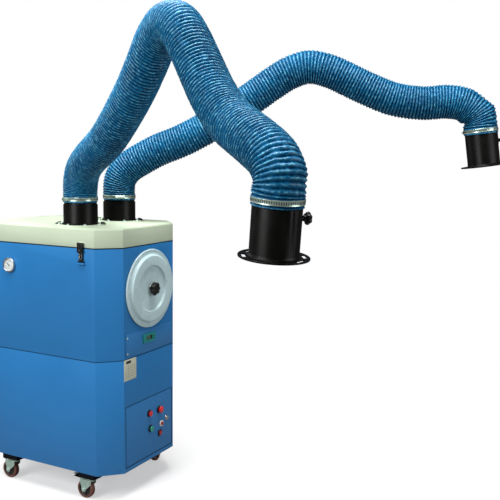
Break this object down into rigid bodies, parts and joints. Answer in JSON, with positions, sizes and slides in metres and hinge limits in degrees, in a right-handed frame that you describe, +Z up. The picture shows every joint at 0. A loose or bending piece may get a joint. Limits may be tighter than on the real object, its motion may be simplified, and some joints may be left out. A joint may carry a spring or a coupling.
{
  "type": "solder fume extractor",
  "caption": "Wheeled cabinet fume extractor: jointed hose arms with damper hoods draw fumes down through a cartridge filter behind a round door to a blower.",
  "frame": {"origin": "on the floor, under the middle of the whole object's bounding box", "axes": "+Z up; the filter door and the controls face -Y; the arms reach forward, the left one to -X and the right one to +X"},
  "size_m": [1.9882, 2.2486, 2.1155],
  "materials": {
    "blue_paint": "fine satin powder coat",
    "cream_paint": "satin powder coat",
    "door_paint": "satin grey paint",
    "black_paint": "satin black paint",
    "zinc": "zinc plated",
    "steel": "bright steel",
    "aluminium": "mill finish",
    "cast_iron": "painted casting",
    "tread": "matt brown tread",
    "hose": "coated fabric, semi-gloss",
    "red_plastic": "glossy",
    "green_plastic": "glossy",
    "black_plastic": "matt",
    "filter_paper": "pleated filter medium"
  },
  "bodies": {
    "cabinet": {"lower_cabinet": "blue_paint", "upper_cabinet": "blue_paint", "top_cover": "cream_paint", "display_panel": "blue_paint", "pressure_gauge": "zinc", "blower_housing": "zinc", "blower_motor": "cast_iron", "exhaust_grille": "blue_paint", "cable_gland": "black_plastic", "caster_plate_front_left": "zinc", "caster_plate_front_right": "zinc", "caster_plate_rear_left": "zinc", "caster_plate_rear_right": "zinc"},
    "filter_door": {"filter_door": "door_paint", "filter_cartridge": "filter_paper"},
    "filter_knob": {"filter_knob": "black_plastic"},
    "control_door": {"control_door": "blue_paint"},
    "start_button": {"start_button": "green_plastic"},
    "stop_button": {"stop_button": "red_plastic"},
    "emergency_stop": {"emergency_stop": "red_plastic"},
    "door_lock": {"door_lock": "steel"},
    "gauge_needle": {"gauge_needle": "black_plastic"},
    "impeller": {"impeller": "aluminium"},
    "left_latch": {"left_latch": "black_plastic"},
    "right_latch": {"right_latch": "black_plastic"},
    "caster_fork_front_left": {"caster_fork_front_left": "zinc"},
    "caster_wheel_front_left": {"caster_wheel_front_left": "tread"},
    "brake_pedal_front_left": {"brake_pedal_front_left": "black_paint"},
    "caster_fork_front_right": {"caster_fork_front_right": "zinc"},
    "caster_wheel_front_right": {"caster_wheel_front_right": "tread"},
    "brake_pedal_front_right": {"brake_pedal_front_right": "black_paint"},
    "caster_fork_rear_left": {"caster_fork_rear_left": "zinc"},
    "caster_wheel_rear_left": {"caster_wheel_rear_left": "tread"},
    "caster_fork_rear_right": {"caster_fork_rear_right": "zinc"},
    "caster_wheel_rear_right": {"caster_wheel_rear_right": "tread"},
    "swivel_left": {"collar_left": "black_paint", "clamp_lower_left": "steel", "hose_shoulder_left": "hose"},
    "upper_arm_left": {"upper_link_left": "aluminium", "hose_upper_left": "hose", "hose_elbow_left": "hose"},
    "forearm_left": {"fore_link_left": "aluminium", "hose_fore_left": "hose", "hose_wrist_left": "hose"},
    "hood_left": {"hood_left": "black_paint", "clamp_upper_left": "steel"},
    "damper_left": {"damper_left": "black_paint"},
    "swivel_right": {"collar_right": "black_paint", "clamp_lower_right": "steel", "hose_shoulder_right": "hose"},
    "upper_arm_right": {"upper_link_right": "aluminium", "hose_upper_right": "hose", "hose_elbow_right": "hose"},
    "forearm_right": {"fore_link_right": "aluminium", "hose_fore_right": "hose", "hose_wrist_right": "hose"},
    "hood_right": {"hood_right": "black_paint", "clamp_upper_right": "steel"},
    "damper_right": {"damper_right": "black_paint"}
  },
  "joints": [
    {"name": "filter_door_slide", "type": "slide", "parent": "cabinet", "child": "filter_door", "axis": [0, -1, 0], "range_m": [0, 0.42]},
    {"name": "filter_knob_turn", "type": "hinge", "parent": "filter_door", "child": "filter_knob", "pos_m": [0.0585, 0.3143, 0.963], "axis": [0, -1, 0], "continuous": true},
    {"name": "control_door_swing", "type": "hinge", "parent": "cabinet", "child": "control_door", "pos_m": [-0.1265, 0.3143, 0.295], "axis": [0, 0, -1], "range_deg": [0, 110]},
    {"name": "door_lock_turn", "type": "hinge", "parent": "control_door", "child": "door_lock", "pos_m": [0.1955, 0.3143, 0.299], "axis": [0, -1, 0], "range_deg": [0, 90]},
    {"name": "stop_button_press", "type": "slide", "parent": "control_door", "child": "stop_button", "axis": [0, 1, 0], "range_m": [0, 0.0035], "stiffness_N_per_m": 900},
    {"name": "start_button_press", "type": "slide", "parent": "control_door", "child": "start_button", "axis": [0, 1, 0], "range_m": [0, 0.0035], "stiffness_N_per_m": 900},
    {"name": "emergency_stop_press", "type": "slide", "parent": "control_door", "child": "emergency_stop", "axis": [0, 1, 0], "range_m": [0, 0.0035], "stiffness_N_per_m": 1500},
    {"name": "gauge_needle_turn", "type": "hinge", "parent": "cabinet", "child": "gauge_needle", "pos_m": [-0.2293, 0.9023, 1.062], "axis": [-1, 0, 0], "range_deg": [-105, 165]},
    {"name": "impeller_spin", "type": "hinge", "parent": "cabinet", "child": "impeller", "pos_m": [0.0585, 0.8543, 0.4], "axis": [0, 0, 1], "continuous": true},
    {"name": "left_latch_turn", "type": "hinge", "parent": "cabinet", "child": "left_latch", "pos_m": [-0.2335, 0.4733, 1.108], "axis": [0, -1, 0], "range_deg": [0, 100]},
    {"name": "right_latch_turn", "type": "hinge", "parent": "cabinet", "child": "right_latch", "pos_m": [0.3505, 0.4733, 1.108], "axis": [0, 1, 0], "range_deg": [0, 100]},
    {"name": "caster_swivel_front_left", "type": "hinge", "parent": "cabinet", "child": "caster_fork_front_left", "pos_m": [-0.1915, 0.4693, 0.09], "axis": [0, 0, 1], "continuous": true},
    {"name": "caster_roll_front_left", "type": "hinge", "parent": "caster_fork_front_left", "child": "caster_wheel_front_left", "pos_m": [-0.1915, 0.4953, 0.044], "axis": [1, 0, 0], "continuous": true},
    {"name": "brake_pedal_press_front_left", "type": "hinge", "parent": "caster_fork_front_left", "child": "brake_pedal_front_left", "pos_m": [-0.1915, 0.5103, 0.0912], "axis": [-1, 0, 0], "range_deg": [0, 8]},
    {"name": "caster_swivel_front_right", "type": "hinge", "parent": "cabinet", "child": "caster_fork_front_right", "pos_m": [0.3085, 0.4693, 0.09], "axis": [0, 0, 1], "continuous": true},
    {"name": "caster_roll_front_right", "type": "hinge", "parent": "caster_fork_front_right", "child": "caster_wheel_front_right", "pos_m": [0.3341, 0.47381, 0.044], "axis": [0.1736, -0.9848, 0], "continuous": true},
    {"name": "brake_pedal_press_front_right", "type": "hinge", "parent": "caster_fork_front_right", "child": "brake_pedal_front_right", "pos_m": [0.34888, 0.47642, 0.0912], "axis": [-0.1736, 0.9848, 0], "range_deg": [0, 8]},
    {"name": "caster_swivel_rear_left", "type": "hinge", "parent": "cabinet", "child": "caster_fork_rear_left", "pos_m": [-0.1915, 0.9393, 0.09], "axis": [0, 0, 1], "continuous": true},
    {"name": "caster_roll_rear_left", "type": "hinge", "parent": "caster_fork_rear_left", "child": "caster_wheel_rear_left", "pos_m": [-0.1915, 0.9653, 0.044], "axis": [1, 0, 0], "continuous": true},
    {"name": "caster_swivel_rear_right", "type": "hinge", "parent": "cabinet", "child": "caster_fork_rear_right", "pos_m": [0.3085, 0.9393, 0.09], "axis": [0, 0, 1], "continuous": true},
    {"name": "caster_roll_rear_right", "type": "hinge", "parent": "caster_fork_rear_right", "child": "caster_wheel_rear_right", "pos_m": [0.3085, 0.9653, 0.044], "axis": [1, 0, 0], "continuous": true},
    {"name": "arm_swivel_left", "type": "hinge", "parent": "cabinet", "child": "swivel_left", "pos_m": [-0.0865, 0.5953, 1.3], "axis": [0, 0, 1], "range_deg": [-110, 45]},
    {"name": "shoulder_left", "type": "hinge", "parent": "swivel_left", "child": "upper_arm_left", "pos_m": [-0.0865, 0.5953, 1.5], "axis": [-0.866, 0.5, 0], "range_deg": [-32, 58], "deforming": ["hose_shoulder_left"]},
    {"name": "elbow_left", "type": "hinge", "parent": "upper_arm_left", "child": "forearm_left", "pos_m": [-0.54742, -0.20304, 1.99429], "axis": [-0.866, 0.5, 0], "range_deg": [-57, 52], "deforming": ["hose_elbow_left"]},
    {"name": "wrist_left", "type": "hinge", "parent": "forearm_left", "child": "hood_left", "pos_m": [-0.90136, -0.81608, 1.5571], "axis": [0.866, -0.5, 0], "range_deg": [-45, 34], "deforming": ["hose_wrist_left"]},
    {"name": "damper_turn_left", "type": "hinge", "parent": "hood_left", "child": "damper_left", "pos_m": [-0.89366, -0.80275, 1.40286], "axis": [0.7937, -0.6082, -0.013], "range_deg": [0, 90]},
    {"name": "arm_swivel_right", "type": "hinge", "parent": "cabinet", "child": "swivel_right", "pos_m": [0.2035, 0.5953, 1.3], "axis": [0, 0, 1], "range_deg": [-45, 125]},
    {"name": "shoulder_right", "type": "hinge", "parent": "swivel_right", "child": "upper_arm_right", "pos_m": [0.2035, 0.5953, 1.5], "axis": [-0.9205, -0.3907, 0], "range_deg": [-32, 58], "deforming": ["hose_shoulder_right"]},
    {"name": "elbow_right", "type": "hinge", "parent": "upper_arm_right", "child": "forearm_right", "pos_m": [0.55922, -0.24272, 2.01507], "axis": [-0.9205, -0.3907, 0], "range_deg": [-73, 36], "deforming": ["hose_elbow_right"]},
    {"name": "wrist_right", "type": "hinge", "parent": "forearm_right", "child": "hood_right", "pos_m": [0.87437, -0.98518, 1.81098], "axis": [0.9205, 0.3907, 0], "range_deg": [-55, 34], "deforming": ["hose_wrist_right"]},
    {"name": "damper_turn_right", "type": "hinge", "parent": "hood_right", "child": "damper_right", "pos_m": [0.88291, -1.00528, 1.65752], "axis": [0.5037, -0.8525, 0.1397], "range_deg": [0, 90]}
  ]
}
